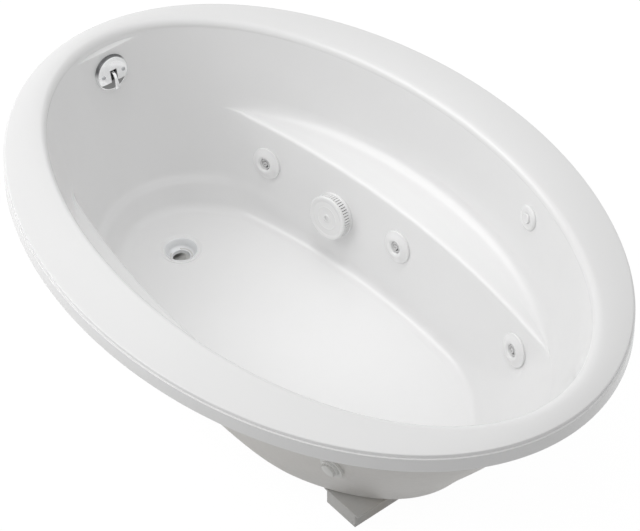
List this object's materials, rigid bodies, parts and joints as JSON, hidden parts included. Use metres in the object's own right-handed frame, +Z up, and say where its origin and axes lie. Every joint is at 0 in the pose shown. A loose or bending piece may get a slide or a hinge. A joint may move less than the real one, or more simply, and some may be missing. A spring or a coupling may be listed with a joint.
{
  "type": "jetted bathtub",
  "caption": "Oval drop-in jetted bathtub with armrest ledges, turnable water jets, a suction fitting, a trip-lever waste and overflow, and its pump and piping.",
  "frame": {"origin": "on the floor, under the centre of the rim's bounding box", "axes": "+X towards the backrest end, -X towards the drain end, +Y towards the pump's side, +Z up"},
  "size_m": [1.524, 1.067, 0.508],
  "materials": {
    "shell_white": "gloss white cast acrylic, resin-backed",
    "trim_white": "gloss white moulded",
    "nozzle_grey": "satin light grey moulded",
    "fitting_white": "satin white moulded",
    "pipe_white": "satin white rigid pipe",
    "hose_clear": "satin translucent flexible",
    "rubber_black": "matt black",
    "chrome": "polished plate",
    "drain_metal": "satin stainless",
    "steel": "turned steel",
    "base_wood": "resin-sealed board",
    "foot_grey": "resin-coated timber, light grey",
    "motor_paint": "semi-gloss dark grey enamel",
    "bracket_steel": "satin grey enamel",
    "pump_black": "satin black moulded",
    "impeller_plastic": "satin cream moulded"
  },
  "bodies": {
    "tub": {"tub_shell": "shell_white", "base_board": "base_wood", "drain_end_foot": "foot_grey", "backrest_end_foot": "foot_grey", "foot_plates": "foot_grey", "jet_body_1": "fitting_white", "jet_body_2": "fitting_white", "jet_body_3": "fitting_white", "jet_body_4": "fitting_white", "jet_body_5": "fitting_white", "jet_body_6": "fitting_white", "jet_lock_nuts": "fitting_white", "suction_body": "fitting_white", "suction_lock_nut": "fitting_white", "switch_body": "fitting_white", "switch_nut": "fitting_white", "jet_gaskets": "rubber_black", "fitting_gaskets": "rubber_black", "suction_cover": "trim_white", "switch_bezel": "trim_white", "suction_screw": "steel", "drain_flange": "drain_metal", "drain_shoe": "pipe_white", "overflow_elbow": "pipe_white", "overflow_tube": "pipe_white", "drain_pipe": "pipe_white", "waste_tee": "pipe_white", "slip_nuts": "pipe_white", "tailpiece": "pipe_white", "suction_pipe": "pipe_white", "water_manifold": "pipe_white", "air_manifold": "pipe_white", "overflow_plate": "chrome", "overflow_screws": "chrome", "pump_volute": "pump_black", "pump_back_plate": "pump_black", "union_nuts": "pump_black", "motor_housing": "motor_paint", "fan_cover": "motor_paint", "pump_bracket": "bracket_steel", "switch_tube": "hose_clear"},
    "ring_1": {"jet_trim_ring_1": "trim_white"},
    "nozzle_1": {"jet_nozzle_1": "nozzle_grey"},
    "ring_2": {"jet_trim_ring_2": "trim_white"},
    "nozzle_2": {"jet_nozzle_2": "nozzle_grey"},
    "ring_3": {"jet_trim_ring_3": "trim_white"},
    "nozzle_3": {"jet_nozzle_3": "nozzle_grey"},
    "ring_4": {"jet_trim_ring_4": "trim_white"},
    "nozzle_4": {"jet_nozzle_4": "nozzle_grey"},
    "ring_5": {"jet_trim_ring_5": "trim_white"},
    "nozzle_5": {"jet_nozzle_5": "nozzle_grey"},
    "ring_6": {"jet_trim_ring_6": "trim_white"},
    "nozzle_6": {"jet_nozzle_6": "nozzle_grey"},
    "button": {"switch_button": "trim_white"},
    "rotor": {"motor_shaft": "steel", "pump_impeller": "impeller_plastic", "motor_fan": "impeller_plastic"},
    "lever": {"trip_lever": "chrome"},
    "stopper": {"linkage_rod": "steel", "drain_plunger": "fitting_white"}
  },
  "joints": [
    {"name": "ring_1_turn", "type": "hinge", "parent": "tub", "child": "ring_1", "pos_m": [-0.42143, 0.22665, 0.20906], "axis": [0.2025, -0.9622, 0.1822], "range_deg": [0, 90]},
    {"name": "nozzle_1_tilt", "type": "hinge", "parent": "ring_1", "child": "nozzle_1", "pos_m": [-0.42143, 0.22665, 0.20906], "axis": [0.9786, 0.2059, 0], "range_deg": [-12, 12]},
    {"name": "ring_2_turn", "type": "hinge", "parent": "tub", "child": "ring_2", "pos_m": [-0.02799, 0.27047, 0.21005], "axis": [0.0135, -0.988, 0.1537], "range_deg": [0, 90]},
    {"name": "nozzle_2_tilt", "type": "hinge", "parent": "ring_2", "child": "nozzle_2", "pos_m": [-0.02799, 0.27047, 0.21005], "axis": [0.9999, 0.0137, 0], "range_deg": [-12, 12]},
    {"name": "ring_3_turn", "type": "hinge", "parent": "tub", "child": "ring_3", "pos_m": [0.37284, 0.23883, 0.22615], "axis": [-0.1771, -0.9683, 0.1762], "range_deg": [0, 90]},
    {"name": "nozzle_3_tilt", "type": "hinge", "parent": "ring_3", "child": "nozzle_3", "pos_m": [0.37284, 0.23883, 0.22615], "axis": [0.9837, -0.1799, 0], "range_deg": [-12, 12]},
    {"name": "ring_4_turn", "type": "hinge", "parent": "tub", "child": "ring_4", "pos_m": [-0.42143, -0.22665, 0.20906], "axis": [0.2025, 0.9622, 0.1822], "range_deg": [0, 90]},
    {"name": "nozzle_4_tilt", "type": "hinge", "parent": "ring_4", "child": "nozzle_4", "pos_m": [-0.42143, -0.22665, 0.20906], "axis": [-0.9786, 0.2059, 0], "range_deg": [-12, 12]},
    {"name": "ring_5_turn", "type": "hinge", "parent": "tub", "child": "ring_5", "pos_m": [-0.02799, -0.27047, 0.21005], "axis": [0.0135, 0.988, 0.1537], "range_deg": [0, 90]},
    {"name": "nozzle_5_tilt", "type": "hinge", "parent": "ring_5", "child": "nozzle_5", "pos_m": [-0.02799, -0.27047, 0.21005], "axis": [-0.9999, 0.0137, 0], "range_deg": [-12, 12]},
    {"name": "ring_6_turn", "type": "hinge", "parent": "tub", "child": "ring_6", "pos_m": [0.37284, -0.23883, 0.22615], "axis": [-0.1771, 0.9683, 0.1762], "range_deg": [0, 90]},
    {"name": "nozzle_6_tilt", "type": "hinge", "parent": "ring_6", "child": "nozzle_6", "pos_m": [0.37284, -0.23883, 0.22615], "axis": [-0.9837, -0.1799, 0], "range_deg": [-12, 12]},
    {"name": "button_press", "type": "slide", "parent": "tub", "child": "button", "axis": [0.2303, 0.9541, -0.1916], "range_m": [0, 0.004], "stiffness_N_per_m": 500, "springref_m": -0.003},
    {"name": "lever_lift", "type": "hinge", "parent": "tub", "child": "lever", "pos_m": [-0.67398, 0, 0.42892], "axis": [0, -1, 0], "range_deg": [0, 39.05]},
    {"name": "stopper_drop", "type": "slide", "parent": "tub", "child": "stopper", "axis": [0, 0, -1], "range_m": [0, 0.02643]},
    {"name": "rotor_spin", "type": "hinge", "parent": "tub", "child": "rotor", "pos_m": [-0.09, 0.372, 0.086], "axis": [1, 0, 0], "continuous": true}
  ],
  "couplings": [
    {"joint": "lever_lift", "follows": "stopper_drop", "rad_per_m": 25.754}
  ]
}
